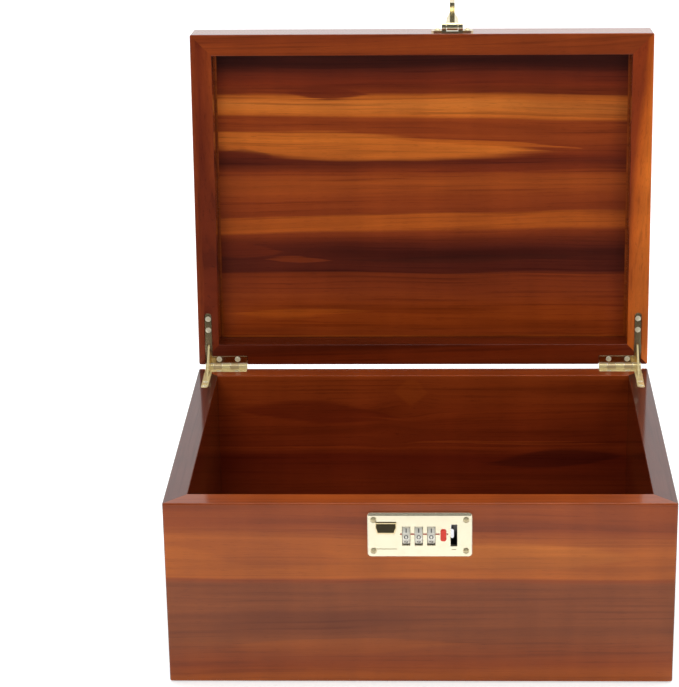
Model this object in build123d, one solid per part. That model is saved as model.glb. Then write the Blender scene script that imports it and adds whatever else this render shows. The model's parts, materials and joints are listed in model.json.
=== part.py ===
from build123d import *
import os
from math import atan2, cos, degrees, hypot, radians, sin

os.makedirs("parts", exist_ok=True)

# Millimetres. X runs to the right, Y to the back and Z up. The origin is the centre of the
# underside of the base felt. The lid is drawn closed, then turned to its open rest position.

# Box
width = 305.0
depth = 225.0
box_height = 118.0
wall = 14.0
base_panel_thick = 6.0
rabbet = 7.0
felt_thick = 1.0
felt_inset = 2.0
corner_round = 1.2
arris_round = 0.8
rim_round = 0.5

# Lid
lid_thick = 28.0
lid_panel_thick = 6.0
lid_top_round = 2.0
lid_gap = 0.3
open_angle = 95.0

rim_z = felt_thick + box_height
lid_z = rim_z + lid_gap
front_y = -depth / 2

# Quadrant stay hinges. Places on a hinge are given as s, in from the box's side face, u,
# forward from the hinge axis, and w, up from the hinge axis.
axis_behind_back = 1.8
axis_y = depth / 2 + axis_behind_back
axis_z = rim_z + lid_gap / 2
leaf_thick = 1.5
leaf_outer = 4.4
side_leg_width = 5.0
side_leg_reach = 38.0
rear_leg_width = 28.6
rear_leg_reach = 8.0
leaf_edge = 0.3
barrel_radius = 2.6
hinge_pin_radius = 1.0
knuckle_count = 5
leaf_screws = ((6.9, 26.0), (6.9, 33.8), (13.8, 5.6), (26.3, 5.6))
turn_gap = 0.3
running_gap = 0.06

# Stay arm: a slotted strip pivoted on the lid leaf, riding on a fixed pin in the box leaf.
# Both pins stand at the same distance from the hinge axis.
stay_u = 13.3
stay_inset = 2.0
stay_pin_radius = 0.9
arm_thick = 1.2
arm_half_width = 2.5
arm_slot_half = 1.0
lug_half_length = 2.5
lug_depth = 4.0

# Hasp, placed by the lock's staple slot
hasp_x = 20.2
hasp_out = 4.2
hasp_above_lid = 5.0
hasp_knuckle_radius = 2.6
hasp_pin_radius = 0.8
tongue_thick = 1.8
tongue_reach = 32.0
tongue_root_half = 4.1
tongue_waist_half = 3.8
tongue_waist = 18.0
tongue_tip_half = 1.7
hasp_lift = 8.0
staple_thick = 3.2

# Lock. Places on it are given as x, d, the depth behind the box's front face, and h, the
# height above the middle of the face plate.
plate_width = 62.0
plate_height = 28.3
plate_thick = 2.2
plate_below_rim = 19.6
plate_z = rim_z - plate_below_rim
lock_screw_x = 27.4
lock_screw_h = 10.0
lock_screw_size = (1.8, 1.0, 10.0)
lock_screw_sunk = 0.3
lock_screw_dome = 0.5
case_half_width = 25.0
case_half_height = 12.0
case_depth = 10.8
case_wall = 1.0
dial_pitch = 7.45
dial_middle_x = -0.6
dial_radius = 6.4
dial_half_width = 2.15
dial_depth = 2.0
dial_h = -0.2
digits = 10
hub_radius = 2.4
gate_radius = 3.0
gate_thick = 1.6
axle_radius = 1.2
window_half_width = 2.45
window_top = 5.7
window_bottom = -6.7
slider_travel = 5.0
bolt_travel = 2.2
slot_left = 18.2
slot_right = 22.2
slot_top = 7.0
slot_bottom = -7.2


def slab(x0, x1, y0, y1, z0, z1):
    """A block between two corners."""
    centre = ((x0 + x1) / 2, (y0 + y1) / 2, (z0 + z1) / 2)
    return Pos(*centre) * Box(abs(x1 - x0), abs(y1 - y0), abs(z1 - z0))


def rod_x(x0, x1, y, z, radius):
    """A cylinder along X."""
    return Pos((x0 + x1) / 2, y, z) * Rot(0, 90, 0) * Cylinder(radius, abs(x1 - x0))


def rod_y(x, y0, y1, z, radius):
    """A cylinder along Y."""
    return Pos(x, (y0 + y1) / 2, z) * Rot(90, 0, 0) * Cylinder(radius, abs(y1 - y0))


def rod_z(x, y, z0, z1, radius):
    """A cylinder along Z."""
    return Pos(x, y, (z0 + z1) / 2) * Cylinder(radius, abs(z1 - z0))


def prism(points, amount):
    """A flat outline drawn in X and Y, raised along +Z."""
    return extrude(Polygon(*points, align=None), amount=amount, dir=(0, 0, 1))


def screw(head_radius, shank_radius, length, dome=0.0):
    """A wood screw pointing down, its head's rim at z = 0, with a cross recess in its dome."""
    cone_depth = head_radius - shank_radius
    tip = 2.0
    shape = Pos(0, 0, -cone_depth / 2) * Cone(shank_radius, head_radius, cone_depth)
    shape += rod_z(0, 0, -length + tip, -cone_depth, shank_radius)
    shape += Pos(0, 0, -length + tip / 2) * Cone(0.2, shank_radius, tip)
    if dome > 0:
        ball = (head_radius**2 + dome**2) / (2 * dome)
        cap = Pos(0, 0, dome - ball) * Sphere(ball)
        shape += cap & slab(-head_radius, head_radius, -head_radius, head_radius, 0, dome)
    arm = head_radius * 0.62
    for turn in (0, 90):
        shape -= Rot(0, 0, turn) * slab(-arm, arm, -0.25, 0.25, dome - 0.8, dome + 1)
    return shape


def screw_hole(head_radius, shank_radius, length, ring=0.05):
    """The countersunk hole that a screw sits in, with a ring-shaped gap around its head."""
    gap = 0.05
    head = head_radius + ring
    cone_depth = head_radius - shank_radius
    shape = Pos(0, 0, -cone_depth / 2) * Cone(shank_radius + gap, head_radius + gap, cone_depth)
    shape += rod_z(0, 0, -0.05, 2.0, head)
    return shape + rod_z(0, 0, -length - 0.3, 0, shank_radius + gap)


def group(shapes):
    """Separate solids kept together in one node."""
    return Compound(children=[shape.solid() for shape in shapes])


# ---------------------------------------------------------------- placing helpers

def hinge_point(s, u, w):
    """A point on the left hinge."""
    return (-width / 2 + s, axis_y - u, axis_z + w)


def hinge_slab(s0, s1, u0, u1, w0, w1):
    """A block on the left hinge."""
    x0, y0, z0 = hinge_point(s0, u0, w0)
    x1, y1, z1 = hinge_point(s1, u1, w1)
    return slab(x0, x1, y0, y1, z0, z1)


def hinge_rod(s0, s1, u, w, radius):
    """A cylinder across the left hinge, along X."""
    x0, y, z = hinge_point(s0, u, w)
    return rod_x(x0, x0 + s1 - s0, y, z, radius)


def lock_slab(x0, x1, d0, d1, h0, h1):
    """A block on the lock."""
    return slab(x0, x1, front_y + d0, front_y + d1, plate_z + h0, plate_z + h1)


# Turn a prism so that it runs along X, or so that it stands out of the front face.
along_x = Rot(0, 0, 90) * Rot(90, 0, 0)
facing_front = Rot(90, 0, 0)

opened = Pos(0, axis_y, axis_z) * Rot(-open_angle, 0, 0) * Pos(0, -axis_y, -axis_z)
hasp_y = front_y - hasp_out
hasp_z = lid_z + hasp_above_lid
folded = Pos(0, hasp_y, hasp_z) * Rot(-(180 - hasp_lift), 0, 0) * Pos(0, -hasp_y, -hasp_z)


def both_sides(shape):
    """The left hinge's shape and its mirror image on the right."""
    return {"left": shape, "right": mirror(shape, about=Plane.YZ)}


# ---------------------------------------------------------------- hinges

knuckle_pitch = rear_leg_width / knuckle_count
leg_middle = leaf_outer + side_leg_width / 2
side_leg_inner = leaf_outer + side_leg_width
arm_room = arm_thick / 2 + turn_gap
slot_near = 6.9
slot_far = 16.3
stay_w = stay_inset + lid_gap / 2
screw_head = 1.9
screw_shank = 1.0
screw_length = 11.0
leaf_screw_sunk = 0.35
leaf_screw_dome = 0.4
screw_ring = 0.15


def leaf_outline(low, high, spare=0.0):
    """The leaf's L between two levels: a leg along the side and a leg along the back."""
    end_u = side_leg_reach - side_leg_width / 2
    x, y, z = hinge_point(leg_middle, end_u, (low + high) / 2)
    shape = hinge_slab(leaf_outer - spare, side_leg_inner + spare, 0, end_u, low, high)
    shape += Pos(x, y, z) * Cylinder(side_leg_width / 2 + spare, abs(high - low))
    rear_end = leaf_outer + rear_leg_width
    shape += hinge_slab(leaf_outer - spare, rear_end + spare, 0, rear_leg_reach + spare, low, high)
    return shape


def leaf(side):
    """One hinge leaf: side is 1 for the lid's and -1 for the box's."""
    near = side * lid_gap / 2
    far = side * (lid_gap / 2 + leaf_thick)
    lug_end = side * (lid_gap / 2 + lug_depth)
    shape = leaf_outline(near, far)
    seen = shape.faces().sort_by(Axis.Z)[-1 if side < 0 else 0]
    shape = chamfer(seen.edges(), leaf_edge)
    lug = (stay_u - lug_half_length, stay_u + lug_half_length, near, lug_end)
    shape += hinge_slab(leaf_outer, side_leg_inner, *lug)
    own = [n for n in range(knuckle_count) if (n % 2 == 0) == (side < 0)]
    for n in range(knuckle_count):
        start = leaf_outer + n * knuckle_pitch
        if n not in own:
            reach = (start - turn_gap / 2, start + knuckle_pitch + turn_gap / 2)
            shape -= hinge_rod(*reach, 0, 0, barrel_radius + turn_gap)
    for n in own:
        start = leaf_outer + n * knuckle_pitch
        reach = (start + turn_gap / 2, start + knuckle_pitch - turn_gap / 2)
        shape += hinge_rod(*reach, 0, 0, barrel_radius)
    ends = (leaf_outer - 1, leaf_outer + rear_leg_width + 1)
    shape -= hinge_rod(*ends, 0, 0, hinge_pin_radius + running_gap)
    slot_sides = (leg_middle - arm_room, leg_middle + arm_room)
    shape -= hinge_slab(*slot_sides, slot_near, slot_far, side * -1, side * (lug_depth + 1))
    pin_hole = stay_pin_radius + running_gap
    shape -= hinge_rod(leaf_outer - 1, side_leg_inner + 1, stay_u, side * stay_w, pin_hole)
    hole = screw_hole(screw_head, screw_shank, screw_length, screw_ring)
    for tool in leaf_screw_shapes(side, hole):
        shape -= tool
    return shape.solid()


def leaf_screw_shapes(side, shape):
    """A screw or hole shape at each of the leaf's four sunk screw places."""
    flip = Rot(180, 0, 0) if side > 0 else Rot(0, 0, 0)
    w = side * (lid_gap / 2 + leaf_screw_sunk)
    return [Pos(*hinge_point(s, u, w)) * flip * shape for s, u in leaf_screws]


def leaf_screw_group(side):
    """The four screws of one leaf, their domes level with its surface."""
    single = screw(screw_head, screw_shank, screw_length, leaf_screw_dome)
    return group(leaf_screw_shapes(side, Pos(0, 0, -0.05) * single))


def hinge_pin():
    ends = (leaf_outer + 0.3, leaf_outer + rear_leg_width - 0.3)
    return hinge_rod(*ends, 0, 0, hinge_pin_radius)


def stay_pin(side):
    """The pin across a leaf's two lugs."""
    return hinge_rod(leaf_outer + 0.2, side_leg_inner - 0.2, stay_u, side * stay_w,
                     stay_pin_radius)


pin_circle = hypot(stay_u, stay_w)
pin_angle = degrees(atan2(stay_w, stay_u))
pins_apart_closed = 2 * stay_w
pins_apart_open = 2 * pin_circle * sin(radians(open_angle / 2 + pin_angle))


def stay_arm():
    """The slotted arm, hanging down from its pivot as it does with the lid closed."""
    x, y, z = hinge_point(leg_middle, stay_u, stay_w)
    tail = pins_apart_open + 0.1
    slot_start = pins_apart_closed - 0.3
    half = arm_thick / 2
    shape = slab(x - half, x + half, y - arm_half_width, y + arm_half_width, z - tail, z)
    for end in (z, z - tail):
        shape += rod_x(x - half, x + half, y, end, arm_half_width)
    shape -= slab(x - 1, x + 1, y - arm_slot_half, y + arm_slot_half, z - tail, z - slot_start)
    for end in (z - slot_start, z - tail):
        shape -= rod_x(x - 1, x + 1, y, end, arm_slot_half)
    shape -= rod_x(x - 1, x + 1, y, z, stay_pin_radius + running_gap)
    return shape.solid()


def open_arm(arm):
    """The arm turned about its pivot by half the lid's angle, then carried up by the lid."""
    x, y, z = hinge_point(leg_middle, stay_u, stay_w)
    half_turn = Pos(0, y, z) * Rot(open_angle / 2, 0, 0) * Pos(0, -y, -z)
    return opened * half_turn * arm


def hinge_wood_cuts(side):
    """What the box's rim (side -1) or the lid's (side 1) gives up for one hinge."""
    base = side * lid_gap / 2
    tools = leaf_outline(0, base + side * leaf_thick, spare=0.1)
    ends = (leaf_outer - 0.3, leaf_outer + rear_leg_width + 0.3)
    tools += hinge_rod(*ends, 0, 0, barrel_radius + turn_gap)
    lug = (stay_u - lug_half_length - 0.2, stay_u + lug_half_length + 0.2)
    tools += hinge_slab(leaf_outer, side_leg_inner, *lug, 0, base + side * (lug_depth + 0.2))
    slot_sides = (leg_middle - arm_room, leg_middle + arm_room)
    pocket_far = slot_far
    pocket_end = base + side * (lug_depth + 1.0)
    if side < 0:
        pocket_far = stay_u + 7.2
        pocket_end = -(pins_apart_open + arm_half_width + 0.6)
    tools += hinge_slab(*slot_sides, slot_near, pocket_far, 0, pocket_end)
    for tool in leaf_screw_shapes(side, screw_hole(screw_head, screw_shank, screw_length)):
        tools += tool
    return tools


# ---------------------------------------------------------------- wooden box and lid

def wedge(corners, low, high):
    """A prism on the given ground-plan corners, used to cut a frame along its mitres."""
    return Pos(0, 0, low) * prism(corners, high - low)


def mitred_panels(frame, low, high):
    """A rectangular frame cut into its four mitred sides."""
    x = width / 2 + 5
    y = depth / 2 + 5
    ridge = (width - depth) / 2
    plans = {
        "front": [(-x, -y), (x, -y), (ridge, 0), (-ridge, 0)],
        "back": [(x, y), (-x, y), (-ridge, 0), (ridge, 0)],
        "left": [(-x, y), (-x, -y), (-ridge, 0)],
        "right": [(x, -y), (x, y), (ridge, 0)],
    }
    return {name: (frame & wedge(plan, low, high)).solid() for name, plan in plans.items()}


def inside(edge):
    """Whether an edge belongs to the frame's inner outline."""
    middle = edge.center()
    return abs(middle.X) < width / 2 - wall + 0.1 and abs(middle.Y) < depth / 2 - wall + 0.1


def box_frame():
    """The four walls as one ring, with a rabbet below for the bottom panel."""
    ring = Pos(0, 0, felt_thick) * Box(width, depth, box_height,
                                       align=(Align.CENTER, Align.CENTER, Align.MIN))
    ring = fillet(ring.edges().filter_by(Axis.Z), corner_round)
    ring = fillet(ring.edges().group_by(Axis.Z)[-1] + ring.edges().group_by(Axis.Z)[0],
                  arris_round)
    hole = (width / 2 - wall, depth / 2 - wall)
    ring -= slab(-hole[0], hole[0], -hole[1], hole[1], 0, rim_z + 1)
    ring = fillet(ring.edges().group_by(Axis.Z)[-1].filter_by(inside), rim_round)
    seat = (hole[0] + rabbet, hole[1] + rabbet)
    seat_top = felt_thick + base_panel_thick
    ring -= slab(-seat[0], seat[0], -seat[1], seat[1], 0, seat_top)
    return ring


def lid_frame():
    """The lid's four sides as one ring, closed, with a rabbet above for the top panel."""
    ring = Pos(0, 0, lid_z) * Box(width, depth, lid_thick,
                                  align=(Align.CENTER, Align.CENTER, Align.MIN))
    ring = fillet(ring.edges().filter_by(Axis.Z), corner_round)
    ring = fillet(ring.edges().group_by(Axis.Z)[-1], lid_top_round)
    ring = fillet(ring.edges().group_by(Axis.Z)[0], arris_round)
    hole = (width / 2 - wall, depth / 2 - wall)
    lid_top = lid_z + lid_thick
    ring -= slab(-hole[0], hole[0], -hole[1], hole[1], lid_z - 1, lid_top + 1)
    ring = fillet(ring.edges().group_by(Axis.Z)[0].filter_by(inside), rim_round)
    seat = (hole[0] + rabbet, hole[1] + rabbet)
    seat_low = lid_top - lid_panel_thick
    ring -= slab(-seat[0], seat[0], -seat[1], seat[1], seat_low, lid_top + 1)
    return ring


def panel(low, high):
    """A flat panel that fills a frame's rabbet."""
    x = width / 2 - wall + rabbet
    y = depth / 2 - wall + rabbet
    return slab(-x, x, -y, y, low, high)


# ---------------------------------------------------------------- hasp

hasp_screw_x = 9.9
hasp_screw_above = 5.2
base_knuckle = (3.9, 6.9)
tongue_knuckle_half = 3.6
hasp_base_thick = 1.2
hasp_screw_head = 2.0
hasp_screw_dome = 1.2


def hasp_base():
    """A shaped plate on the lid's front with two outer knuckles."""
    back = front_y
    front = front_y - hasp_base_thick
    low = hasp_z - 1.0
    high = hasp_z + 9.0
    screw_z = hasp_z + hasp_screw_above
    shape = slab(hasp_x - base_knuckle[1], hasp_x + base_knuckle[1], front, back, low, high)
    for side in (-1, 1):
        x = hasp_x + side * hasp_screw_x
        shape += rod_y(x, front, back, screw_z, 4.0)
        crown_x = hasp_x + side * 4.0
        shape += rod_y(crown_x, front, back, high - 0.5, 3.0)
        inner, outer = (hasp_x + side * reach for reach in base_knuckle)
        shape += rod_x(min(inner, outer), max(inner, outer), hasp_y, hasp_z, hasp_knuckle_radius)
        shape += slab(inner, outer, hasp_y, front, hasp_z, hasp_z + hasp_knuckle_radius)
    middle = (hasp_x - tongue_knuckle_half - turn_gap, hasp_x + tongue_knuckle_half + turn_gap)
    shape -= rod_x(*middle, hasp_y, hasp_z, hasp_knuckle_radius + turn_gap)
    shape -= rod_x(hasp_x - 8, hasp_x + 8, hasp_y, hasp_z, hasp_pin_radius + 0.02)
    for tool in hasp_screw_shapes(screw_hole(hasp_screw_head, screw_shank, screw_length)):
        shape -= tool
    return shape.solid()


def hasp_screw_shapes(shape):
    """A screw or hole shape at each of the hasp base's two screw places."""
    face = front_y - hasp_base_thick
    z = hasp_z + hasp_screw_above
    places = [(hasp_x + side * hasp_screw_x, face, z) for side in (-1, 1)]
    return [Pos(*place) * facing_front * shape for place in places]


def hasp_tongue():
    """The tongue hanging closed: a knuckle, a plate that tapers from its waist, a round tip."""
    half = tongue_thick / 2
    tip_z = -tongue_reach + tongue_tip_half
    shoulder = -hasp_knuckle_radius - turn_gap - 0.2
    right = [(tongue_tip_half, tip_z), (tongue_waist_half, -tongue_waist),
             (tongue_root_half, shoulder)]
    left = [(-x, z) for x, z in reversed(right)]
    shape = Pos(hasp_x, hasp_y + half, hasp_z) * facing_front * prism(left + right, tongue_thick)
    shape += rod_y(hasp_x, hasp_y - half, hasp_y + half, hasp_z + tip_z, tongue_tip_half)
    knuckle = (hasp_x - tongue_knuckle_half, hasp_x + tongue_knuckle_half)
    shape += slab(*knuckle, hasp_y - half, hasp_y + half, hasp_z + shoulder, hasp_z)
    shape += rod_x(*knuckle, hasp_y, hasp_z, hasp_knuckle_radius)
    shape -= rod_x(hasp_x - 8, hasp_x + 8, hasp_y, hasp_z, hasp_pin_radius + running_gap)
    return shape.solid()


bolt_h = (-2.9, 3.1)
nose_depth = (0.3, 4.0)
staple_reach = (20.2, 30.6)
staple_depth = 6.4
slot_swing = hasp_z - (plate_z + slot_bottom) - 0.5


def hasp_staple():
    """The staple on the tongue's back: a thick plate with a window for the bolt."""
    half = staple_thick / 2
    root = front_y - hasp_out + tongue_thick / 2
    tall = (hasp_z - staple_reach[1], hasp_z - staple_reach[0])
    shape = slab(hasp_x - half, hasp_x + half, root, front_y + staple_depth, *tall)
    shape &= rod_x(hasp_x - half, hasp_x + half, hasp_y, hasp_z, slot_swing)
    gap = 0.3
    shape -= lock_slab(hasp_x - 3, hasp_x + 3, -0.1, nose_depth[1] + gap,
                       bolt_h[0] - gap, bolt_h[1] + gap)
    return shape.solid()


# ---------------------------------------------------------------- lock

dial_places = [dial_middle_x + n * dial_pitch for n in (-1, 0, 1)]
dial_y = front_y + dial_depth
dial_z = plate_z + dial_h
track = (-26.4, -13.5, -9.1, 8.6)
stem_x = (-21.5, -17.5)
stem_h = (6.0, 8.0)
drive_pin_x = -18.0
drive_pin_h = 4.5
drive_pin_radius = 0.8
button_x = (12.3, 15.7)
button_h = (-3.7, 3.9)
button_proud = 0.8
grip_proud = (3.4, 1.9)
grip_h = (1.8, 8.3)
cheek_top = 2.5


def rounded_bar(x0, x1, y0, y1, z0, z1, radius):
    """A block with rounded corners as seen from the front."""
    shape = slab(x0, x1, y0, y1, z0, z1)
    return fillet(shape.edges().filter_by(Axis.Y), radius)


def face_plate():
    """The lock's front plate, with a wide top bevel and windows for all that shows."""
    face = front_y - plate_thick
    half_w = plate_width / 2
    top = plate_z + plate_height / 2
    bottom = plate_z - plate_height / 2
    shape = rounded_bar(-half_w, half_w, face, front_y, bottom, top, 2.0)
    rim = shape.edges().group_by(Axis.Y)[0]
    shape = chamfer(rim, 0.6)
    ramp = prism([(-1.0, 1.0), (-1.0, -3.4), (1.4, 1.0)], plate_width)
    shape -= Pos(-half_w, face, top) * along_x * ramp
    for x in dial_places:
        shape -= lock_slab(x - window_half_width, x + window_half_width, -5, 1,
                           window_bottom, window_top)
        shape -= rod_x(x - window_half_width, x + window_half_width, dial_y, dial_z,
                       dial_radius + turn_gap)
    shape -= lock_slab(-10.6, 10.8, -1.35, 1, dial_h - gate_radius - turn_gap,
                       dial_h + gate_radius + turn_gap)
    shape -= lock_slab(slot_left, slot_right, -5, 1, slot_bottom, slot_top)
    shape -= lock_slab(slot_left + 0.6, slot_right - 0.6, -5, -plate_thick + 0.4, -9.4, -8.1)
    shape -= lock_slab(track[0], track[1], -5, -plate_thick + 0.5, track[2], track[3])
    shape -= lock_slab(stem_x[0] - 0.3, stem_x[1] + 0.3, -5, 1,
                       stem_h[0] - slider_travel - 0.3, stem_h[1] + 0.3)
    gap = 0.08
    shape -= rounded_bar(button_x[0] - gap, button_x[1] + gap, face - 1, front_y + 1,
                         plate_z + button_h[0] - gap, plate_z + button_h[1] + gap, 1.2 + gap)
    for tool in lock_screw_shapes(screw_hole(*lock_screw_size, screw_ring)):
        shape -= tool
    return shape.solid()


def lock_screw_shapes(shape):
    """A screw or hole shape at each corner of the face plate, a little below its face."""
    face = front_y - plate_thick + lock_screw_sunk
    return [
        Pos(sx * lock_screw_x, face, plate_z + sz * lock_screw_h) * facing_front * shape
        for sx in (-1, 1)
        for sz in (-1, 1)
    ]


def lock_case():
    """A tray behind the face plate, with two cheeks that hold the dial axle."""
    w = case_half_width
    h = case_half_height
    shape = lock_slab(-w, w, 0, case_depth, -h, h)
    inner_w = w - case_wall
    inner_h = h - case_wall
    shape -= lock_slab(-inner_w, inner_w, -1, case_depth - case_wall, -inner_h, inner_h)
    for x0, x1 in ((-11.5, -10.7), (10.9, 11.7)):
        shape += lock_slab(x0, x1, 0, case_depth - case_wall, -inner_h, cheek_top)
    shape -= rod_x(-12, 12, dial_y, dial_z, axle_radius + 0.05)
    return shape.solid()


def dial(x):
    """A number wheel: a shallow groove between each pair of its ten flats."""
    shape = rod_x(x - dial_half_width, x + dial_half_width, dial_y, dial_z, dial_radius)
    shape = chamfer(shape.edges().filter_by(GeomType.CIRCLE), 0.3)
    groove_radius = 0.55
    groove_circle = dial_radius + 0.2
    for n in range(digits):
        angle = radians((n + 0.5) * 360 / digits)
        y = dial_y + groove_circle * cos(angle)
        z = dial_z + groove_circle * sin(angle)
        shape -= rod_x(x - 3, x + 3, y, z, groove_radius)
    return (shape - rod_x(x - 3, x + 3, dial_y, dial_z, hub_radius + 0.05)).solid()


def dial_hub(x):
    """The wheel's hub, with a notched gate disc beside the wheel."""
    left = x - dial_half_width
    right = x + dial_half_width
    shape = rod_x(left, right, dial_y, dial_z, hub_radius)
    shape += rod_x(right, right + gate_thick, dial_y, dial_z, gate_radius)
    notch = slab(right - 0.01, right + 3, dial_y - 1.1, dial_y + 1.1, dial_z + hub_radius,
                 dial_z + gate_radius + 1)
    shape -= notch
    return (shape - rod_x(x - 5, x + 5, dial_y, dial_z, axle_radius + running_gap)).solid()


def dial_axle():
    return rod_x(-11.5, 11.7, dial_y, dial_z, axle_radius)


def detent_spring():
    """A bent strip under the wheels with one finger for each."""
    base = lock_slab(-10.4, 10.6, 4.0, 9.6, -11.0, -10.6)
    tip_h = dial_h - dial_radius - 0.35
    for x in dial_places:
        outline = [(9.6, -10.8), (9.6, -10.4), (2.6, tip_h), (2.0, tip_h - 0.1),
                   (2.0, tip_h - 0.5)]
        base += Pos(x - 1.2, front_y, plate_z) * along_x * prism(outline, 2.4)
    return base.solid()


def thumb_slider():
    """Grip, stem, back plate, drive pin and spring saddle in one piece."""
    low = -plate_thick + 0.4
    bottom, top = grip_h
    knee = (bottom + top) / 2
    plan = [(-26.2, top), (-26.2, knee), (-25.2, bottom), (-15.0, bottom), (-13.9, knee),
            (-13.9, top)]
    lean = [(low, bottom), (low - grip_proud[0], bottom), (low - grip_proud[1], top), (low, top)]
    shape = Pos(0, front_y + low, plate_z) * facing_front * prism(plan, grip_proud[0])
    shape &= Pos(-27, front_y, plate_z) * along_x * prism(lean, 14)
    shape = fillet(shape.faces().sort_by(Axis.Y)[0].edges(), 0.9)
    shape += lock_slab(*stem_x, low - 0.4, 0.6, *stem_h)
    shape += lock_slab(-22.5, -15.5, 0.3, 1.3, -1.0, 9.0)
    pin_z = plate_z + drive_pin_h
    shape += rod_y(drive_pin_x, front_y + 1.0, front_y + 5.0, pin_z, drive_pin_radius)
    shape += lock_slab(drive_pin_x - 2, drive_pin_x + 2, 4.6, 8.4, 3.4, 5.6)
    return shape.solid()


def coil(radius, wire, length, turns):
    """A compression spring standing on z = 0."""
    path = Helix(pitch=(length - 2 * wire) / turns, height=length - 2 * wire, radius=radius)
    section = Plane(path @ 0, z_dir=path % 0) * Circle(wire)
    return (Pos(0, 0, wire) * sweep(section, path=path, is_frenet=True)).solid()


def slider_spring():
    low = -case_half_height + case_wall
    length = 3.4 - low
    return Pos(drive_pin_x, front_y + 6.5, plate_z + low) * coil(1.3, 0.25, length, 7)


def bolt():
    """A flat bar over the wheels, with a cam slot at the left and a nose at the right."""
    shape = lock_slab(-20.6, -13.2, 2.2, 3.7, -2.4, 10.2)
    shape += lock_slab(-20.6, 18.7, 2.2, 3.7, 7.2, 10.2)
    shape += lock_slab(17.0, 18.7, 2.2, 5.6, bolt_h[0], 10.2)
    nose = lock_slab(18.6, 20.2, *nose_depth, *bolt_h)
    nose_face = nose.edges().filter_by(Axis.Y).group_by(Axis.X)[-1]
    shape += fillet(nose_face, 1.2)
    for x in dial_places:
        tooth = x + dial_pitch / 2 + bolt_travel / 2
        shape += lock_slab(tooth - 0.2, tooth + 0.2, 2.2, 3.7, dial_h + gate_radius + 0.35, 7.4)
    start = (drive_pin_x, drive_pin_h)
    end = (drive_pin_x + bolt_travel, drive_pin_h - slider_travel)
    wide = drive_pin_radius + 0.08
    run = hypot(end[0] - start[0], end[1] - start[1])
    lean = degrees(atan2(end[0] - start[0], start[1] - end[1]))
    middle = ((start[0] + end[0]) / 2, front_y + 3, plate_z + (start[1] + end[1]) / 2)
    shape -= Pos(*middle) * Rot(0, -lean, 0) * Box(2 * wide, 4, run)
    for x, h in (start, end):
        shape -= rod_y(x, front_y + 1, front_y + 5, plate_z + h, wide)
    return shape.solid()


def reset_button():
    """A rounded bar that stands through the face plate, with a retaining lip behind it."""
    face = front_y - plate_thick - button_proud
    low = plate_z + button_h[0]
    high = plate_z + button_h[1]
    shape = rounded_bar(*button_x, face, front_y + 0.9, low, high, 1.2)
    shape = fillet(shape.edges().group_by(Axis.Y)[0], 0.45)
    shape += lock_slab(11.95, 15.6, 0.15, 0.9, button_h[0] - 0.6, button_h[1] + 0.6)
    return shape.solid()


def reset_spring():
    length = case_depth - case_wall - 0.9
    place = Pos(13.3, front_y + 0.9, plate_z + 0.5) * Rot(-90, 0, 0)
    return place * coil(0.75, 0.18, length, 6)


# ---------------------------------------------------------------- assembly

nodes = {}

frame = box_frame()
for cut in both_sides(hinge_wood_cuts(-1)).values():
    frame -= cut
frame -= lock_slab(-case_half_width - 0.1, case_half_width + 0.1, -1, case_depth + 0.1,
                   -case_half_height - 0.1, case_half_height + 0.1)
for cut in lock_screw_shapes(screw_hole(*lock_screw_size)):
    frame -= cut
for side, solid in mitred_panels(frame, 0, rim_z + 1).items():
    nodes[f"{side}_panel"] = solid
nodes["bottom_panel"] = panel(felt_thick, felt_thick + base_panel_thick)
felt_x = width / 2 - felt_inset
felt_y = depth / 2 - felt_inset
nodes["base_felt"] = slab(-felt_x, felt_x, -felt_y, felt_y, 0, felt_thick)

frame = lid_frame()
for cut in both_sides(hinge_wood_cuts(1)).values():
    frame -= cut
for cut in hasp_screw_shapes(screw_hole(hasp_screw_head, screw_shank, screw_length)):
    frame -= cut
rail_names = {"front": "lid_front_rail", "back": "lid_back_rail",
              "left": "lid_left_stile", "right": "lid_right_stile"}
lid_top = lid_z + lid_thick
for side, solid in mitred_panels(frame, lid_z - 1, lid_top + 1).items():
    nodes[rail_names[side]] = opened * solid
nodes["lid_top_panel"] = opened * panel(lid_top - lid_panel_thick, lid_top)

hinge_pieces = {
    "hinge_box_leaf": leaf(-1),
    "hinge_lid_leaf": opened * leaf(1),
    "hinge_pin": hinge_pin(),
    "hinge_box_screws": leaf_screw_group(-1),
    "hinge_lid_screws": opened * leaf_screw_group(1),
    "stay_guide_pin": stay_pin(-1),
    "stay_pivot_pin": opened * stay_pin(1),
    "stay_arm": open_arm(stay_arm()),
}
for name, shape in hinge_pieces.items():
    for side, placed in both_sides(shape).items():
        nodes[f"{side}_{name}"] = placed

hasp_pin_ends = (hasp_x - base_knuckle[1], hasp_x + base_knuckle[1])
nodes["hasp_base"] = opened * hasp_base()
nodes["hasp_pin"] = opened * rod_x(*hasp_pin_ends, hasp_y, hasp_z, hasp_pin_radius)
nodes["hasp_tongue"] = opened * folded * hasp_tongue()
nodes["hasp_staple"] = opened * folded * hasp_staple()
nodes["hasp_screws"] = opened * group(
    hasp_screw_shapes(screw(hasp_screw_head, screw_shank, screw_length, hasp_screw_dome)))

nodes["lock_face_plate"] = face_plate()
nodes["lock_case"] = lock_case()
nodes["lock_screws"] = group(lock_screw_shapes(screw(*lock_screw_size, lock_screw_dome)))
for number, x in enumerate(dial_places, start=1):
    nodes[f"dial_{number}"] = dial(x)
    nodes[f"dial_{number}_hub"] = dial_hub(x)
nodes["dial_axle"] = dial_axle()
nodes["detent_spring"] = detent_spring()
nodes["thumb_slider"] = thumb_slider()
nodes["slider_spring"] = slider_spring()
nodes["bolt"] = bolt()
nodes["reset_button"] = reset_button()
nodes["reset_spring"] = reset_spring()

for name, shape in nodes.items():
    export_step(shape, f"parts/{name}.step")
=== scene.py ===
import json
from math import cos, pi, radians, sin

import bmesh
import bpy
from mathutils import Matrix, Vector


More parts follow.
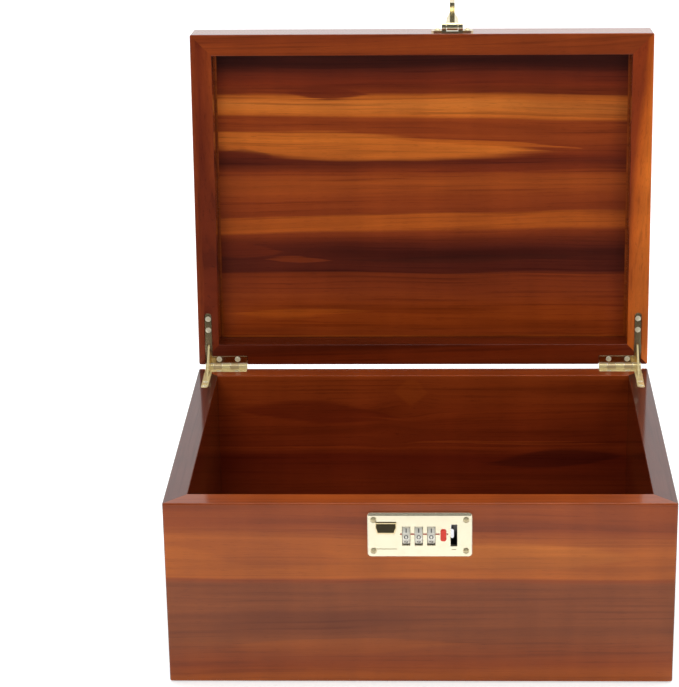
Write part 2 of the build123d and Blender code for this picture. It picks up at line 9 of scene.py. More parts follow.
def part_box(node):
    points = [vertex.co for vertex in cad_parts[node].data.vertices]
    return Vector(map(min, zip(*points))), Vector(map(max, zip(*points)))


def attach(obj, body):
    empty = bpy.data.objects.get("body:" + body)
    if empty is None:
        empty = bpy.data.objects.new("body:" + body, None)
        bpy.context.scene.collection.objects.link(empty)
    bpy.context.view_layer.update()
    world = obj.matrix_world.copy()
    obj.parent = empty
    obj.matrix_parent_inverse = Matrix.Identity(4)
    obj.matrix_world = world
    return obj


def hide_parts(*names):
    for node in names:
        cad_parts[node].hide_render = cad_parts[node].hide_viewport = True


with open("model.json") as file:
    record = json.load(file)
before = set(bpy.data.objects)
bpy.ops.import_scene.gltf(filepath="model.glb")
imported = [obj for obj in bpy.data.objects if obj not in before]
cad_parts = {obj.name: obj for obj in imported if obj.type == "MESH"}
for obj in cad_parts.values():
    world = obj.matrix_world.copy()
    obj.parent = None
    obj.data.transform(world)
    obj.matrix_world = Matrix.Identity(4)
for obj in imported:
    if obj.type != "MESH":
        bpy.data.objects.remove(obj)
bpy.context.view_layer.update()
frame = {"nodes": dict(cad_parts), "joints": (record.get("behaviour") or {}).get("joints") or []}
nodes = frame["nodes"]
MM = 0.001
X, Y, Z = 0, 1, 2

# Wood tones, as linear colours, from dark to light.
EBONY = (0.070, 0.010, 0.004)
SOOT = (0.095, 0.012, 0.004)
UMBER = (0.125, 0.016, 0.004)
MAHOGANY = (0.175, 0.022, 0.004)
RUSSET = (0.235, 0.036, 0.005)
WALNUT = (0.235, 0.050, 0.012)
CHESTNUT = (0.300, 0.050, 0.006)
COPPER = (0.370, 0.072, 0.008)
AMBER = (0.450, 0.095, 0.009)
HONEY = (0.540, 0.135, 0.015)
GOLDEN = (0.600, 0.175, 0.026)

# What the grain's fine features multiply the wood's colour by.
BROAD_DARK = (0.42, 0.30, 0.30)
BROAD_LIGHT = (1.35, 1.50, 1.45)
FINE_DARK = (0.55, 0.45, 0.45)
FINE_LIGHT = (1.25, 1.35, 1.30)
FIBRE_DARK = (0.70, 0.62, 0.62)
PORE_DARK = (0.45, 0.36, 0.36)
# Lightens patches of the wood's figure, with a painted chatoyant sheen in them.
FIGURE_SHEEN_LIGHT = (1.18, 1.20, 1.20)


# ---------------------------------------------------------------- node graphs

class Graph:
    """A material's node tree, with short calls for the nodes used here."""

    def __init__(self, name):
        self.material = bpy.data.materials.new(name)
        self.material.use_nodes = True
        self.tree = self.material.node_tree
        self.shader = self.tree.nodes["Principled BSDF"]

    def put(self, value, socket):
        """Link a socket's value, or set it where it's a plain number or colour."""
        if isinstance(value, bpy.types.NodeSocket):
            self.tree.links.new(value, socket)
        elif hasattr(value, "__len__") and len(value) == 3 and len(socket.default_value) == 4:
            socket.default_value = (*value, 1.0)
        else:
            socket.default_value = value

    def node(self, kind, *values, **settings):
        made = self.tree.nodes.new(kind)
        for name, value in settings.items():
            setattr(made, name, value)
        for socket, value in zip(made.inputs, values):
            self.put(value, socket)
        return made

    def math(self, operation, *values):
        return self.node("ShaderNodeMath", *values, operation=operation).outputs[0]

    def scaled(self, value, factor, offset=0.0):
        return self.math("MULTIPLY_ADD", value, factor, offset)

    def smooth_step(self, value, start, end):
        """0 before start and 1 after end, with a soft change between them."""
        made = self.node("ShaderNodeMapRange", value, start, end, interpolation_type="SMOOTHSTEP")
        return made.outputs[0]

    def vector(self, x, y, z):
        return self.node("ShaderNodeCombineXYZ", x, y, z).outputs[0]

    def noise(self, vector, scale=1.0, detail=2.0, roughness=0.5):
        made = self.node("ShaderNodeTexNoise")
        self.put(vector, made.inputs["Vector"])
        made.inputs["Scale"].default_value = scale
        made.inputs["Detail"].default_value = detail
        made.inputs["Roughness"].default_value = roughness
        return made.outputs[0]

    def ramp(self, value, stops):
        """A colour ramp; stops are (place from 0 to 1, colour)."""
        made = self.node("ShaderNodeValToRGB", value)
        elements = made.color_ramp.elements
        while len(elements) < len(stops):
            elements.new(1.0)
        for element, (place, colour) in zip(elements, sorted(stops, key=lambda stop: stop[0])):
            element.position = place
            element.color = (*colour, 1.0)
        return made.outputs[0]

    def mix(self, factor, first, second, blend="MIX"):
        made = self.node("ShaderNodeMix", data_type="RGBA", blend_type=blend)
        self.put(factor, made.inputs[0])
        self.put(first, made.inputs[6])
        self.put(second, made.inputs[7])
        return made.outputs[2]

    def object_axes(self):
        """The place on the object, in metres, as three separate values."""
        place = self.node("ShaderNodeTexCoord").outputs["Object"]
        return self.node("ShaderNodeSeparateXYZ", place).outputs[:3]

    def bump(self, height, distance):
        made = self.node("ShaderNodeBump")
        made.inputs["Distance"].default_value = distance
        self.put(height, made.inputs["Height"])
        return made.outputs[0]

    def finish(self, **values):
        """Set the shader's sockets by name, an underscore standing for a space."""
        for name, value in values.items():
            self.put(value, self.shader.inputs[name.replace("_", " ")])
        return self.material


def grey(value):
    return (value, value, value)


# ---------------------------------------------------------------- wood

# The grain's rise is held in a grey ramp: black is -STEEPEST, white is STEEPEST.
STEEPEST = 0.05


def part_round_knots(graph, run, height, knots):
    """Spread the lines of the grain round knots, each given as (run, height, size). A knot
    reaches further along the grain than across it, so its run counts for less."""
    run_share = 0.45
    for knot_run, knot_height, size in knots:
        gap_run = graph.math("SUBTRACT", run, knot_run * MM)
        gap_height = graph.math("SUBTRACT", height, knot_height * MM)
        reach = graph.math("ADD", graph.math("POWER", graph.scaled(gap_run, run_share), 2.0),
                           graph.math("POWER", gap_height, 2.0))
        pull = graph.math("EXPONENT", graph.scaled(reach, -1 / (size * MM) ** 2))
        height = graph.math("SUBTRACT", height, graph.math("MULTIPLY", gap_height, pull))
    return height


def paint_lenses(graph, colour, run, height, lenses):
    """Paint long pointed streaks with soft edges over a colour."""
    pointedness = 1.6
    for middle_run, middle, half_run, half_height, rise, tone, strength in lenses:
        gap_run = graph.math("SUBTRACT", run, middle_run * MM)
        off = graph.math("SUBTRACT", height, middle * MM)
        off = graph.math("SUBTRACT", off, graph.scaled(gap_run, rise))
        share_run = graph.math("ABSOLUTE", graph.scaled(gap_run, 1 / (half_run * MM)))
        share_off = graph.math("ABSOLUTE", graph.scaled(off, 1 / (half_height * MM)))
        spread = graph.math("ADD", graph.math("POWER", share_run, pointedness), share_off)
        inside = graph.scaled(graph.smooth_step(spread, 1.10, 0.75), strength)
        colour = graph.mix(inside, colour, tone)
    return colour


def wood(name, along, across, low, high, tones, leans, knots=(), seed=0.0, wander=1.6,
         streaks=1.0, lenses=(), tint=(1.0, 1.0, 1.0), coat_ior=1.5):
    """Lacquered solid wood whose grain runs along one axis.

    Heights across the grain run from low to high, in millimetres. tones are (height, colour),
    and leans are (height, rise of the grain per unit of length). lenses are long pointed
    streaks: (run, height, half length, half height, rise, colour, strength). wander is how
    far the grain strays from its line, in millimetres."""
    graph = Graph(name)
    axes = graph.object_axes()
    through = 3 - along - across
    run, height, deep = axes[along], axes[across], axes[through]
    span = (high - low) * MM

    def share_of_span(place):
        """0 where a place is at the low height and 1 where it's at the high one."""
        return graph.scaled(place, 1 / span, -low * MM / span)

    def stops(pairs):
        return [((at - low) / (high - low), colour) for at, colour in pairs]

    height = part_round_knots(graph, run, height, knots)
    straight_height = height
    lean_stops = stops([(at, grey(0.5 + lean / STEEPEST / 2)) for at, lean in leans])
    lean = graph.scaled(graph.ramp(share_of_span(height), lean_stops), 2 * STEEPEST, -STEEPEST)
    height = graph.math("SUBTRACT", height, graph.math("MULTIPLY", lean, run))
    slow = graph.noise(graph.vector(graph.scaled(run, 9.0, seed), graph.scaled(height, 26.0),
                                    graph.scaled(deep, 14.0)), detail=1.0)
    height = graph.math("ADD", height, graph.scaled(slow, 2 * wander * MM, -wander * MM))

    def grain(run_scale, height_scale, detail, roughness=0.55):
        """Noise that follows the grain; the scales are in features per metre."""
        place = graph.vector(graph.scaled(run, run_scale, seed),
                             graph.scaled(height, height_scale),
                             graph.scaled(deep, height_scale))
        return graph.noise(place, detail=detail, roughness=roughness)

    broad = grain(3.0, 70.0, 2.0)
    fine = grain(9.0, 520.0, 3.0, 0.6)
    fibre = grain(22.0, 2100.0, 1.0)
    pores = graph.smooth_step(grain(130.0, 3600.0, 1.0), 0.62, 0.72)
    # The wood's figure, whose lighter patches also carry a painted sheen.
    figure_sheen = grain(34.0, 9.0, 2.0, 0.5)

    rough_edge = graph.scaled(fine, 2.4 * MM, -1.2 * MM)
    colour = graph.ramp(share_of_span(graph.math("ADD", height, rough_edge)), stops(tones))
    ragged = graph.math("ADD", graph.scaled(fine, 5.0 * MM, -2.5 * MM),
                        graph.scaled(broad, 16.0 * MM, -8.0 * MM))
    ragged_height = graph.math("ADD", straight_height, ragged)
    colour = paint_lenses(graph, colour, run, ragged_height, lenses)

    layers = ((graph.smooth_step(broad, 0.50, 0.74), 0.55 * streaks, BROAD_DARK),
              (graph.smooth_step(broad, 0.46, 0.25), 0.50 * streaks, BROAD_LIGHT),
              (graph.smooth_step(fine, 0.50, 0.72), 0.60 * streaks, FINE_DARK),
              (graph.smooth_step(fine, 0.46, 0.28), 0.40, FINE_LIGHT),
              (fibre, 0.30, FIBRE_DARK),
              (pores, 0.45, PORE_DARK),
              (graph.smooth_step(figure_sheen, 0.30, 0.72), 1.0, FIGURE_SHEEN_LIGHT))
    for where, strength, shade in layers:
        colour = graph.mix(graph.scaled(where, strength), colour, shade, "MULTIPLY")
    colour = graph.mix(1.0, colour, tint, "MULTIPLY")

    relief = graph.math("SUBTRACT", graph.scaled(fibre, 0.35), pores)
    return graph.finish(Base_Color=colour, Roughness=graph.scaled(fine, 0.18, 0.34),
                        Normal=graph.bump(relief, 0.02 * MM), Specular_IOR_Level=0.1,
                        Coat_Weight=1.0, Coat_Roughness=0.09, Coat_IOR=coat_ior)


def lid_panel_wood():
    """The lid's inner panel: orange streaks, dark bands and a painted shadow along its top."""
    # From 301 millimetres up the tones darken to near black: a painted shadow cast by the rail
    # above.
    tones = [(130, RUSSET), (150, CHESTNUT), (166, RUSSET), (177, RUSSET), (178.5, SOOT),
             (194, SOOT), (198, UMBER), (206, RUSSET), (208, AMBER), (218, AMBER),
             (219.5, RUSSET), (230, CHESTNUT), (240, COPPER), (248, RUSSET), (254, UMBER),
             (258, MAHOGANY), (272, CHESTNUT), (284, CHESTNUT), (285.5, HONEY), (293, GOLDEN),
             (298, HONEY), (301, RUSSET), (308, MAHOGANY), (313, UMBER), (320, EBONY)]
    leans = [(140, 0.0), (178, 0.0), (199, 0.0), (212, 0.025), (228, 0.015), (246, 0.0),
             (268, -0.010), (285, -0.016), (300, -0.005), (320, 0.0)]
    lenses = [(-60, 266, 150, 9.5, -0.050, HONEY, 1.0), (40, 265.5, 70, 2.6, -0.062, AMBER, 0.9),
              (-122, 260, 22, 4.5, 0.0, UMBER, 0.6), (-64, 302, 30, 4.5, -0.03, MAHOGANY, 0.9),
              (-85, 186, 24, 4.0, -0.03, RUSSET, 0.6), (-124, 193, 30, 6.0, 0.0, MAHOGANY, 0.6),
              (-85, 150, 52, 5.0, 0.05, AMBER, 0.45), (30, 189, 90, 4.5, 0.03, EBONY, 0.8),
              (70, 250, 70, 3.5, 0.03, MAHOGANY, 0.6), (90, 300, 60, 3.0, -0.01, HONEY, 0.7)]
    return wood("wood_lid_panel", X, Z, 126, 332, tones, leans, seed=3.1, wander=2.4,
                streaks=1.2, lenses=lenses, tint=(1.22, 1.18, 1.05))


def front_wood():
    """The front panel: a golden band over darker, finely grained wood."""
    tones = [(1, COPPER), (12, CHESTNUT), (30, WALNUT), (45, WALNUT), (66, WALNUT),
             (69, CHESTNUT), (70.5, AMBER), (84, AMBER), (96, COPPER), (102, CHESTNUT),
             (120, CHESTNUT)]
    leans = [(20, 0.005), (36, 0.0225), (60, 0.0), (78, 0.0), (98, -0.02), (115, -0.01)]
    lenses = [(-100, 88, 60, 8.0, -0.10, COPPER, 0.6), (60, 84, 70, 7.0, 0.0, HONEY, 0.5),
              (10, 104, 90, 3.0, 0.02, RUSSET, 0.5), (-40, 24, 80, 5.0, 0.02, COPPER, 0.4)]
    return wood("wood_front", X, Z, 0, 120, tones, leans, seed=7.7, wander=2.2, streaks=0.8,
                lenses=lenses, tint=(0.97, 1.07, 0.95), coat_ior=1.34)


def back_wood():
    """The back panel: deep red-brown, a paler patch, two small knots and painted shade."""
    tones = [(1, MAHOGANY), (40, RUSSET), (60, MAHOGANY), (67, CHESTNUT), (69, RUSSET),
             (90, CHESTNUT), (108, COPPER), (115, COPPER), (119, AMBER)]
    leans = [(20, 0.0), (60, -0.01), (90, 0.02), (115, 0.0)]
    knots = [(-24, 76, 7), (-12, 94, 8)]
    lenses = [(90, 57, 50, 8.0, 0.08, EBONY, 0.6), (60, 69, 80, 2.0, 0.0, COPPER, 0.7),
              (-70, 92, 60, 8.0, -0.05, MAHOGANY, 0.6), (-8, 106, 12, 12.0, 0.0, AMBER, 0.6)]
    # The tint darkens the wood as painted shade of the box's inside.
    return wood("wood_back", X, Z, 0, 120, tones, leans, knots, seed=12.9, lenses=lenses,
                tint=(0.82, 0.66, 1.0))


def side_wood(name, seed):
    """A side panel, with its grain running front to back, darkened by painted shade."""
    tones = [(1, MAHOGANY), (30, RUSSET), (55, MAHOGANY), (75, CHESTNUT), (100, RUSSET),
             (120, MAHOGANY)]
    leans = [(30, 0.015), (90, -0.015)]
    # The tint darkens the wood as painted shade of the box's inside, and greys it as a painted
    # sheen along the grain.
    return wood(name, Y, Z, 0, 120, tones, leans, seed=seed, tint=(0.50, 0.60, 0.9))


def bottom_wood():
    """The bottom panel, with its grain running from side to side."""
    tones = [(-110, MAHOGANY), (-60, RUSSET), (-20, MAHOGANY), (30, CHESTNUT), (70, RUSSET),
             (110, MAHOGANY)]
    leans = [(-60, 0.02), (50, -0.015)]
    return wood("wood_bottom", X, Y, -112, 112, tones, leans, seed=21.3, tint=(0.7, 0.7, 0.7))


def rail_wood(name, low, high, tones, seed):
    """A narrow piece along X, whose grain starts level and leans more towards its top."""
    leans = [(low, 0.0), (high, STEEPEST)]
    return wood(name, X, Z, low, high, tones, leans, seed=seed, wander=0.8)


def stile_wood(name, low, high, tones, leans, seed, tint=(1.0, 1.0, 1.0)):
    """A narrow upright piece, banded from left to right."""
    return wood(name, Z, X, low, high, tones, leans, seed=seed, wander=0.8, tint=tint)


# ---------------------------------------------------------------- metals, felt and plastic

def metal(name, colour, roughness, tarnish, tarnish_share=0.25, purity=1.0,
          polished_above=None):
    """Metal with a faint cloudy tarnish and fine handling marks. A purity below 1 is a satin,
    lacquered finish, and above the height polished_above, in millimetres, it turns to pure
    polished metal."""
    cloud_swing = 0.08
    mark_swing = 0.05
    polish_change = 1.5
    graph = Graph(name)
    place = graph.node("ShaderNodeTexCoord").outputs["Object"]
    cloud = graph.noise(place, scale=160.0, detail=3.0)
    marks = graph.noise(place, scale=2600.0, detail=2.0, roughness=0.7)
    dull = graph.scaled(graph.smooth_step(cloud, 0.48, 0.78), tarnish_share)
    shine = graph.math("ADD", graph.scaled(cloud, cloud_swing, roughness - cloud_swing / 2),
                       graph.scaled(marks, mark_swing, -mark_swing / 2))
    if polished_above is not None:
        polish = graph.smooth_step(graph.object_axes()[Z], polished_above * MM,
                                   (polished_above + polish_change) * MM)
        purity = graph.scaled(polish, 1.0 - purity, purity)
    return graph.finish(Base_Color=graph.mix(dull, colour, tarnish), Metallic=purity,
                        Roughness=shine, Normal=graph.bump(marks, 0.002 * MM))


def felt_cloth():
    """Black felt, with fine fibres and slightly paler tufts."""
    graph = Graph("felt")
    place = graph.node("ShaderNodeTexCoord").outputs["Object"]
    fibres = graph.noise(place, scale=1400.0, detail=4.0, roughness=0.8)
    tufts = graph.noise(place, scale=260.0, detail=2.0)
    blend = graph.math("ADD", graph.scaled(fibres, 0.6), graph.scaled(tufts, 0.4))
    colour = graph.ramp(blend, [(0.35, grey(0.008)), (0.65, grey(0.035))])
    return graph.finish(Base_Color=colour, Roughness=0.95, Specular_IOR_Level=0.1,
                        Sheen_Weight=0.4, Sheen_Roughness=0.5,
                        Normal=graph.bump(fibres, 0.15 * MM))


def plastic(name, colour, shade):
    """Moulded plastic, faintly mottled between two colours."""
    graph = Graph(name)
    place = graph.node("ShaderNodeTexCoord").outputs["Object"]
    texture = graph.noise(place, scale=900.0, detail=2.0)
    return graph.finish(Base_Color=graph.mix(texture, colour, shade), Roughness=0.3,
                        Normal=graph.bump(texture, 0.01 * MM))


def enamel(name, colour, shade):
    """Smooth printed colour, finely mottled between two colours."""
    graph = Graph(name)
    place = graph.node("ShaderNodeTexCoord").outputs["Object"]
    texture = graph.noise(place, scale=2200.0, detail=2.0)
    return graph.finish(Base_Color=graph.mix(texture, colour, shade), Roughness=0.4)


# ---------------------------------------------------------------- mesh helpers

def new_piece(name, mesh, body, material):
    """A finished piece that rides on a body, with the material it is given."""
    piece = bpy.data.objects.new(name, mesh)
    bpy.context.scene.collection.objects.link(piece)
    piece.data.materials.append(material)
    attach(piece, body)
    return piece


def mesh_from(name, bm, smooth=True):
    """A mesh from one in the making, with smooth faces between sharp edges if asked."""
    sharp_angle = radians(40)
    mesh = bpy.data.meshes.new(name)
    bmesh.ops.recalc_face_normals(bm, faces=bm.faces)
    bm.to_mesh(mesh)
    bm.free()
    if smooth:
        mesh.shade_smooth()
        mesh.set_sharp_from_angle(angle=sharp_angle)
    return mesh


def add_bar(bm, low, high, bevel):
    """A block with rounded edges, added to a mesh in the making."""
    made = bmesh.ops.create_cube(bm, size=1.0)["verts"]
    size = high - low
    for vert in made:
        vert.co = low + Vector((vert.co[i] + 0.5) * size[i] for i in range(3))
    edges = {edge for vert in made for edge in vert.link_edges}
    bmesh.ops.bevel(bm, geom=list(edges), offset=bevel, segments=2, affect="EDGES")


# ---------------------------------------------------------------- pieces

def felt_pad(material):
    """The base felt, with soft round edges."""
    edge_round = 0.35 * MM
    low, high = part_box("base_felt")
    bm = bmesh.new()
    add_bar(bm, low, high, edge_round)
    pad = new_piece("felt_pad", mesh_from("felt_pad", bm), "box", material)
    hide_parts("base_felt")


def lid_bead(material):
    """A small rounded bead of wood where the lid's panel meets its frame.

    It is drawn with the lid closed, then turned with it about the hinge axis. The closed
    lid's opening is as wide and deep as the box's."""
    size = 1.1 * MM
    edge_round = 0.4 * MM
    panel_above_rim = 22.3 * MM
    hinge = next(joint for joint in frame["joints"] if joint["name"] == "lid_hinge")
    axis_place = Vector(hinge["pos_m"])
    open_angle = radians(hinge["range_deg"][1])
    half_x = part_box("lid_right_stile")[0].x
    half_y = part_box("back_panel")[0].y
    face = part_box("back_panel")[1].z + panel_above_rim
    bm = bmesh.new()
    for side in (-1, 1):
        front, back = sorted((side * half_y, side * (half_y - size)))
        add_bar(bm, Vector((-half_x, front, face - size)), Vector((half_x, back, face)),
                edge_round)
        left, right = sorted((side * half_x, side * (half_x - size)))
        add_bar(bm, Vector((left, size - half_y, face - size)),
                Vector((right, half_y - size, face)), edge_round)
    opened = Matrix.Translation(axis_place) @ Matrix.Rotation(-open_angle, 4, "X")
    bm.transform(opened @ Matrix.Translation(-axis_place))
    new_piece("lid_bead", mesh_from("lid_bead", bm), "lid", material)


# A digit is this tall, and drawn out sideways by this factor until it is this wide.
DIGIT_HEIGHT = 2.5 * MM
DIGIT_STRETCH = 1.6
DIGIT_WIDTH = 2.8 * MM
DIGIT_STRIPS = 10
INK_PROUD = 0.03 * MM


def digit_shape(text):
    """A flat digit from the built-in font, centred, in metres, cut into narrow strips."""
    curve = bpy.data.curves.new("digit", "FONT")
    curve.body = text
    curve.align_x = "CENTER"
    holder = bpy.data.objects.new("digit", curve)
    bpy.context.scene.collection.objects.link(holder)
    depsgraph = bpy.context.evaluated_depsgraph_get()
    mesh = bpy.data.meshes.new_from_object(holder.evaluated_get(depsgraph))
    bpy.data.objects.remove(holder)
    bpy.data.curves.remove(curve)
    bm = bmesh.new()
    bm.from_mesh(mesh)
    bpy.data.meshes.remove(mesh)
    wide = [vert.co.x for vert in bm.verts]
    tall = [vert.co.y for vert in bm.verts]
    scale_y = DIGIT_HEIGHT / (max(tall) - min(tall))
    scale_x = min(DIGIT_STRETCH * scale_y, DIGIT_WIDTH / (max(wide) - min(wide)))
    middle_x = (max(wide) + min(wide)) / 2
    middle_y = (max(tall) + min(tall)) / 2
    for vert in bm.verts:
        vert.co.x = (vert.co.x - middle_x) * scale_x
        vert.co.y = (vert.co.y - middle_y) * scale_y
    for n in range(1, DIGIT_STRIPS):
        level = DIGIT_HEIGHT * (n / DIGIT_STRIPS - 0.5)
        bmesh.ops.bisect_plane(bm, geom=list(bm.verts) + list(bm.edges) + list(bm.faces),
                               plane_co=(0, level, 0), plane_no=(0, 1, 0))
    return bm


def dial_digits(number, material):
    """The ten digits printed round one wheel, with 0 at the front."""
    low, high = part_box(f"dial_{number}")
    centre = (low + high) / 2
    radius = (high.y - low.y) / 2 + INK_PROUD
    bm = bmesh.new()
    for value in range(10):
        facing = pi - value * 2 * pi / 10
        digit = digit_shape(str(value))
        places = {}
        for vert in digit.verts:
            angle = facing - vert.co.y / radius
            place = (centre.x + vert.co.x, centre.y + radius * cos(angle),
                     centre.z + radius * sin(angle))
            places[vert] = bm.verts.new(place)
        for face in digit.faces:
            bm.faces.new([places[vert] for vert in face.verts])
        digit.free()
    mesh = bpy.data.meshes.new("digits")
    bm.to_mesh(mesh)
    bm.free()
    new_piece(f"dial_{number}_digits", mesh, f"dial_{number}", material)


def index_line(material):
    """The red line across the face plate that marks where the dials are read."""
    window_room = 0.3 * MM
    gap = 0.35 * MM
    end_length = 0.8 * MM
    above_middle = 1.0 * MM
    half_height = 0.45 * MM
    proud = 0.06 * MM
    sunk = 0.2 * MM
    edge_round = 0.05 * MM
    plate_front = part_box("lock_face_plate")[0].y
    button_low, button_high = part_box("reset_button")
    dials = [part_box(f"dial_{number}") for number in (1, 2, 3)]
    first_low, first_high = dials[0]
    level = (first_low.z + first_high.z) / 2 + above_middle
    stops = [first_low.x - window_room - gap - end_length]
    for low, high in dials:
        stops += [low.x - window_room - gap / 4, high.x + window_room + gap / 4]
    stops += [button_low.x - gap / 2, button_high.x + gap / 2, button_high.x + end_length + gap]
    bm = bmesh.new()
    for start, end in zip(stops[0::2], stops[1::2]):
        low = Vector((start, plate_front - proud, level - half_height))
        high = Vector((end, plate_front + sunk, level + half_height))
        add_bar(bm, low, high, edge_round)
    new_piece("index_line", mesh_from("index_line", bm), "box", material)


def heights(name):
    """A node's lowest and highest point, in millimetres."""
    low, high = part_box(name)
    return low.z / MM, high.z / MM


def add_pieces():
    """Make the six pieces that are drawn here, beside the CAD model's own."""
    felt_pad(felt_cloth())
    low, high = heights("lid_back_rail")
    lid_bead(rail_wood("wood_bead", low, high, [(low, CHESTNUT), (high, COPPER)], 83.0))
    ink = enamel("ink", (0.012, 0.012, 0.014), (0.03, 0.03, 0.03))
    for number in (1, 2, 3):
        dial_digits(number, ink)
    index_line(enamel("index_enamel", (0.46, 0.032, 0.014), (0.34, 0.025, 0.012)))


# ---------------------------------------------------------------- finishes

def hinge_finishes(brass):
    """The hinges' and stays' materials, by node. The lid leaf's barrel is satin brass, and
    its face, from about the barrel's top upwards, is polished."""
    polished_from = 121.5
    lid_brass = metal("lid_brass", (0.80, 0.62, 0.34), 0.14, (0.45, 0.30, 0.12), purity=0.45,
                      polished_above=polished_from)
    # The hinge screws are pale and mostly unmetallic: a painted highlight in place of the light
    # their heads catch.
    screws = metal("screw_brass", (1.0, 0.94, 0.72), 0.26, (0.80, 0.62, 0.36), purity=0.30)
    finishes = {}
    for name in nodes:
        if name.startswith(("left_hinge", "right_hinge", "left_stay", "right_stay")):
            finishes[name] = screws if name.endswith("screws") else brass
    for side in ("left", "right"):
        finishes[f"{side}_hinge_lid_leaf"] = lid_brass
    return finishes


def lock_finishes(brass):
    """The lock's and hasp's materials, by node."""
    lock_screws = metal("lock_screw_brass", (0.80, 0.70, 0.44), 0.30, (0.5, 0.4, 0.2),
                        purity=0.8)
    hasp = metal("hasp_gold", (0.94, 0.84, 0.56), 0.14, (0.60, 0.44, 0.20), purity=0.93)
    plate = metal("plate_gold", (1.0, 0.92, 0.68), 0.22, (0.92, 0.80, 0.52), 0.2, purity=0.75)
    grip = metal("grip_gold", (0.90, 0.74, 0.42), 0.08, (0.40, 0.26, 0.10))
    steel = metal("steel", (0.78, 0.78, 0.80), 0.14, (0.45, 0.43, 0.40))
    case = metal("case_steel", (0.26, 0.25, 0.25), 0.35, (0.16, 0.15, 0.14))
    spring = metal("spring_steel", (0.50, 0.50, 0.53), 0.25, (0.30, 0.28, 0.26))
    silver = metal("dial_silver", (0.92, 0.90, 0.80), 0.42, (0.70, 0.66, 0.56), purity=0.4)
    red = plastic("red_plastic", (0.86, 0.045, 0.018), (0.70, 0.030, 0.012))
    finishes = {
        "hasp_base": hasp,
        "hasp_pin": hasp,
        "hasp_tongue": hasp,
        "hasp_staple": hasp,
        "hasp_screws": lock_screws,
        "lock_face_plate": plate,
        "lock_screws": lock_screws,
        "thumb_slider": grip,
        "lock_case": case,
        "dial_axle": steel,
        "bolt": steel,
        "detent_spring": spring,
        "slider_spring": spring,
        "reset_spring": spring,
        "reset_button": red,
    }
    for number in (1, 2, 3):
        finishes[f"dial_{number}"] = silver
        finishes[f"dial_{number}_hub"] = brass
    return finishes


def box_finishes():
    """The box panels' materials, by node."""
    return {
        "front_panel": front_wood(),
        "back_panel": back_wood(),
        "left_panel": side_wood("wood_left", 31.0),
        "right_panel": side_wood("wood_right", 45.0),
        "bottom_panel": bottom_wood(),
    }


def lid_finishes():
    """The lid's materials, by node. Its stiles' bands are set out, in millimetres, from the
    outer ends of the front rail."""
    top_low, top_high = heights("lid_front_rail")
    top_tones = [(top_low, RUSSET), (top_low + 8, CHESTNUT), (top_high, RUSSET)]
    foot_low, foot_high = heights("lid_back_rail")
    foot_tones = [(foot_low, UMBER), (foot_low + 9, MAHOGANY), (foot_high, UMBER)]
    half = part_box("lid_front_rail")[1].x / MM
    stile_low, stile_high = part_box("lid_left_stile")
    left_low = -half
    left_high = left_low + (stile_high.x - stile_low.x) / MM
    left_tones = [(left_low, RUSSET), (left_low + 5, MAHOGANY), (left_high, RUSSET)]
    left_leans = [(left_low + 5, 0.0), (left_high, STEEPEST)]
    right_low = half - 32
    right_high = half - 4
    right_tones = [(right_low, MAHOGANY), (half - 21, RUSSET), (half - 19, AMBER),
                   (half - 15, HONEY), (right_high, HONEY)]
    right_leans = [(half - 20, 0.0225), (right_high, STEEPEST)]
    return {
        "lid_top_panel": lid_panel_wood(),
        "lid_front_rail": rail_wood("wood_lid_front", top_low, top_high, top_tones, 51.0),
        "lid_back_rail": rail_wood("wood_lid_back", foot_low, foot_high, foot_tones, 57.0),
        "lid_left_stile": stile_wood("wood_lid_left", left_low, left_high, left_tones,
                                     left_leans, 63.0),
        "lid_right_stile": stile_wood("wood_lid_right", right_low, right_high, right_tones,
                                      right_leans, 71.0, tint=(1.24, 1.14, 1.05)),
    }


def paint():
    """Give every CAD node its material."""
    brass = metal("brass", (1.0, 0.84, 0.44), 0.20, (0.62, 0.40, 0.14), purity=0.40)
    groups = (hinge_finishes(brass), lock_finishes(brass), box_finishes(), lid_finishes())
    for finishes in groups:
        for name, material in finishes.items():
            nodes[name].data.materials.clear()
            nodes[name].data.materials.append(material)


# ---------------------------------------------------------------- studio

def add_floor():
    """A wide pale floor. Glossy rays see a smaller white table top in its place, which fades
    towards the front, so that polished faces mirror a bright table and a dim room beyond it."""
    floor_half = 6.0
    table_half = 0.65
    table_height = 0.2 * MM
    fade_start, fade_end = -0.62, -0.30
    paper = Graph("floor")
    camera_ray = paper.node("ShaderNodeLightPath").outputs["Is Camera Ray"]
    floor_paint = paper.finish(Base_Color=grey(0.9), Roughness=0.7, Emission_Color=grey(1.0),
                               Emission_Strength=paper.scaled(camera_ray, 0.45, 0.05))
    cloth = Graph("table_top")
    near = cloth.smooth_step(cloth.object_axes()[Y], fade_start, fade_end)
    table_paint = cloth.finish(Base_Color=cloth.mix(near, grey(0.10), grey(0.9)),
                               Roughness=0.7, Specular_IOR_Level=0.0,
                               Emission_Color=grey(1.0),
                               Emission_Strength=cloth.scaled(near, 0.25))
    planes = (("floor", floor_half, 0.0, floor_paint, False),
              ("table_top", table_half, table_height, table_paint, True))
    for name, half, height, material, mirrored in planes:
        bm = bmesh.new()
        bmesh.ops.create_grid(bm, x_segments=4, y_segments=4, size=half)
        plane = bpy.data.objects.new(name, mesh_from(name, bm, smooth=False))
        plane.location.z = height
        bpy.context.scene.collection.objects.link(plane)
        plane.data.materials.append(material)
        plane.visible_glossy = mirrored
        plane.visible_camera = not mirrored
        plane.visible_diffuse = not mirrored
        plane.visible_shadow = not mirrored


def add_light(name, place, target, size, power, mirrored=False):
    """A round soft light, seen in polished faces only where it is mirrored."""
    data = bpy.data.lights.new(name, "AREA")
    data.shape = "DISK"
    data.size = size
    data.energy = power
    light = bpy.data.objects.new(name, data)
    bpy.context.scene.collection.objects.link(light)
    place = Vector(place)
    aim = (Vector(target) - place).to_track_quat("-Z", "Y")
    light.matrix_world = Matrix.Translation(place) @ aim.to_matrix().to_4x4()
    light.visible_glossy = mirrored


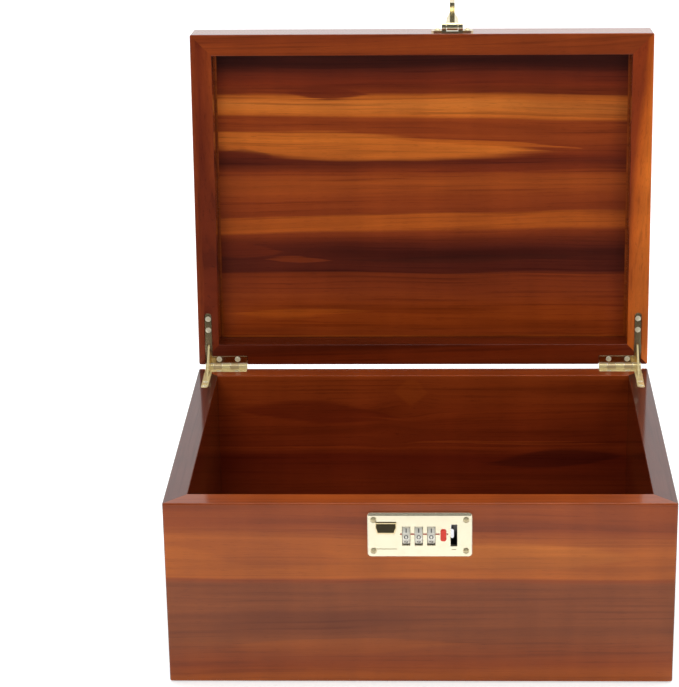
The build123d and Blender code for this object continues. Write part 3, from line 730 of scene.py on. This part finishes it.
def add_world():
    """White behind, beside and above the object, and dim on the camera's side. The camera
    itself sees plain white all round."""
    dim_from, white_from = -0.5, 0.1
    dim, white = 0.06, 1.0
    world = bpy.data.worlds.new("studio")
    bpy.context.scene.world = world
    world.use_nodes = True
    tree = world.node_tree
    background = tree.nodes["Background"]
    direction = tree.nodes.new("ShaderNodeTexCoord").outputs["Generated"]
    split = tree.nodes.new("ShaderNodeSeparateXYZ")
    tree.links.new(direction, split.inputs[0])
    room = tree.nodes.new("ShaderNodeMapRange")
    room.interpolation_type = "SMOOTHSTEP"
    tree.links.new(split.outputs[Y], room.inputs[0])
    for socket, value in zip(room.inputs[1:5], (dim_from, white_from, dim, white)):
        socket.default_value = value
    seen = tree.nodes.new("ShaderNodeMix")
    camera_ray = tree.nodes.new("ShaderNodeLightPath").outputs["Is Camera Ray"]
    tree.links.new(camera_ray, seen.inputs[0])
    tree.links.new(room.outputs[0], seen.inputs[2])
    seen.inputs[3].default_value = white
    background.inputs[0].default_value = (1.0, 1.0, 1.0, 1.0)
    tree.links.new(seen.outputs[0], background.inputs[1])


def add_camera():
    """The camera stands in front of the box, well above it, and looks down a little."""
    place = Vector((15.0, -1377.6, 684.1)) * MM
    pitch = radians(20.157)
    yaw = radians(1.298)
    roll = radians(-0.527)
    data = bpy.data.cameras.new("camera")
    data.lens = 122.8
    data.sensor_width = 36.0
    data.shift_x = -0.0808
    camera = bpy.data.objects.new("camera", data)
    bpy.context.scene.collection.objects.link(camera)
    turn = Matrix.Rotation(yaw, 4, "Z") @ Matrix.Rotation(pi / 2 - pitch, 4, "X")
    camera.matrix_world = Matrix.Translation(place) @ turn @ Matrix.Rotation(roll, 4, "Z")
    bpy.context.scene.camera = camera


paint()
add_pieces()
add_floor()
add_world()
add_light("key", place=(-0.5, -1.6, 1.15), target=(0, 0, 0.2), size=0.9, power=10.5)
add_light("fill", place=(0.8, -1.6, 0.95), target=(0, 0, 0.2), size=0.9, power=6.5)
add_light("top", place=(0.2, 0.5, 2.0), target=(0, 0.2, 0), size=1.4, power=12.0, mirrored=True)
add_camera()
bpy.context.scene.view_settings.view_transform = "Standard"
